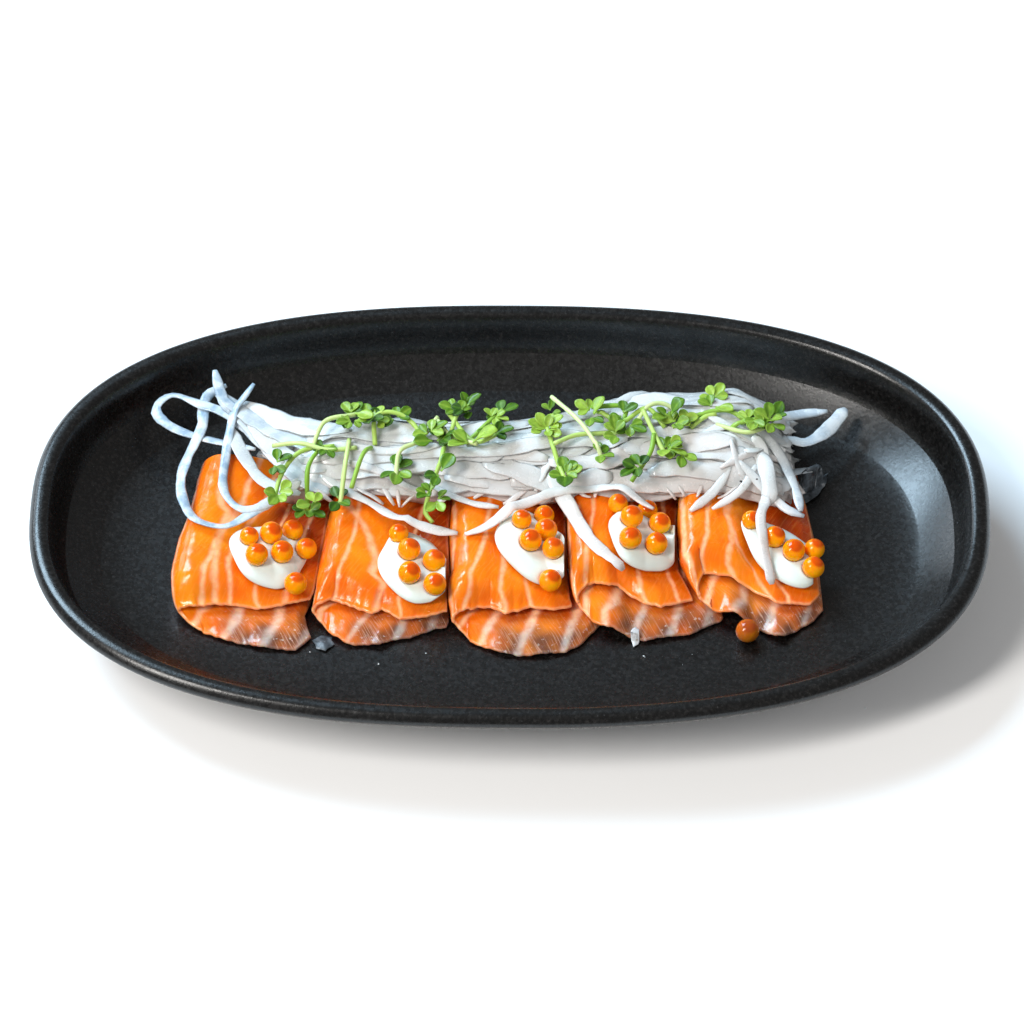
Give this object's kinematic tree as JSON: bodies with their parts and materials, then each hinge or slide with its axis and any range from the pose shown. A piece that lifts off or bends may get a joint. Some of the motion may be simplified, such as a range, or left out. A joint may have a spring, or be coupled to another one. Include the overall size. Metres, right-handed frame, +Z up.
{
  "type": "salmon ceviche",
  "caption": "Plated salmon ceviche: folded raw salmon slices with cream, roe, radish shreds and cress on an oval black dish.",
  "frame": {"origin": "centre of the foot of the dish, on the table", "axes": "+X along the row of slices, towards the last slice; +Y across the dish, away from the open front ends of the slices towards the radish; +Z up"},
  "size_m": [0.26, 0.1528, 0.0347],
  "materials": {
    "stoneware": "black glazed stoneware, satin",
    "salmon": "raw salmon, moist",
    "cream": "white cream, smooth",
    "roe": "salmon roe, clear and wet",
    "radish": "raw white radish, moist",
    "cress": "fresh green leaf"
  },
  "bodies": {
    "root": {"dish": "stoneware", "salmon_slice_1": "salmon", "salmon_slice_2": "salmon", "salmon_slice_3": "salmon", "salmon_slice_4": "salmon", "salmon_slice_5": "salmon", "cream_1": "cream", "cream_2": "cream", "cream_3": "cream", "cream_4": "cream", "cream_5": "cream", "roe_1_1": "roe", "roe_1_2": "roe", "roe_1_3": "roe", "roe_1_4": "roe", "roe_1_5": "roe", "roe_1_6": "roe", "roe_1_7": "roe", "roe_2_1": "roe", "roe_2_2": "roe", "roe_2_3": "roe", "roe_2_4": "roe", "roe_2_5": "roe", "roe_3_1": "roe", "roe_3_2": "roe", "roe_3_3": "roe", "roe_3_4": "roe", "roe_3_5": "roe", "roe_3_6": "roe", "roe_4_1": "roe", "roe_4_2": "roe", "roe_4_3": "roe", "roe_4_4": "roe", "roe_4_5": "roe", "roe_4_6": "roe", "roe_5_1": "roe", "roe_5_2": "roe", "roe_5_3": "roe", "roe_5_4": "roe", "roe_5_5": "roe", "roe_loose": "roe", "radish_shreds": "radish", "cress_left": "cress", "cress_right": "cress"}
  },
  "joints": []
}
